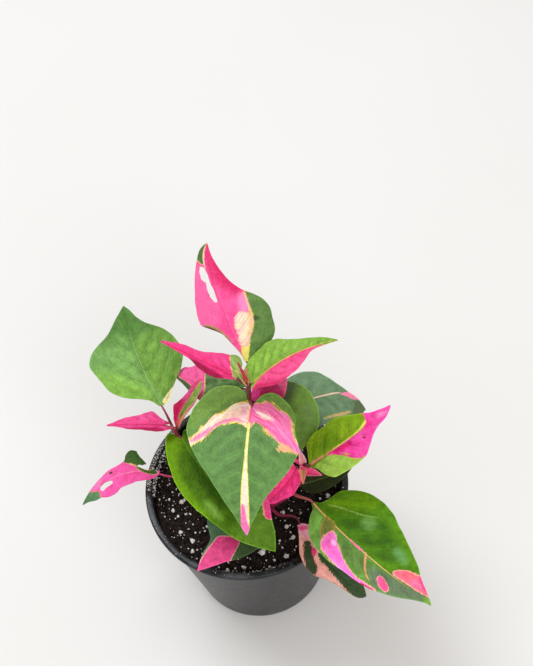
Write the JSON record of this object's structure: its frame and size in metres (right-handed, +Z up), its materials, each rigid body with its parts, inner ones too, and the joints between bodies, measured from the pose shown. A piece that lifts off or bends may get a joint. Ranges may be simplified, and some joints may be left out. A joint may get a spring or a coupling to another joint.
{
  "type": "potted alternanthera",
  "caption": "Young houseplant whose leafy shoots carry pointed pink, cream and green leaves, growing in dark soil in a thin round tapered black nursery pot.",
  "frame": {"origin": "centre of the pot's flat underside, on the surface it stands on", "axes": "+Z up along the pot's axis, -Y towards the side from which the plant shows best, +X to that view's right"},
  "size_m": [0.1527, 0.1633, 0.1921],
  "materials": {
    "pot": "satin black thin plastic",
    "soil": "loose dark potting soil with white perlite grains",
    "stem": "smooth dark red and pink plant stem",
    "leaf_pink": "satin leaf, pink with green parts",
    "leaf_green": "satin leaf, green with pink and cream parts",
    "leaf_pale_green": "satin leaf, light green",
    "leaf_dark_green": "satin leaf, dark green"
  },
  "bodies": {
    "root": {"pot": "pot", "soil": "soil", "stem_centre": "stem", "stem_left": "stem", "stem_right": "stem", "leaf_top_back": "leaf_pink", "leaf_crown_left": "leaf_pink", "leaf_crown_right": "leaf_pink", "leaf_front_heart": "leaf_green", "leaf_back_left": "leaf_pink", "leaf_shaded_small": "leaf_pink", "leaf_right_round": "leaf_dark_green", "leaf_right_back": "leaf_green", "leaf_left_back": "leaf_pale_green", "leaf_under_heart": "leaf_green", "leaf_left_small": "leaf_pink", "leaf_left_upright": "leaf_pink", "leaf_left_low": "leaf_pink", "leaf_right_upper": "leaf_pale_green", "leaf_right_puckered": "leaf_pink", "leaf_right_low": "leaf_dark_green", "leaf_front_right": "leaf_green", "leaf_front_right_low": "leaf_pink", "leaf_front_low": "leaf_pink"}
  },
  "joints": []
}
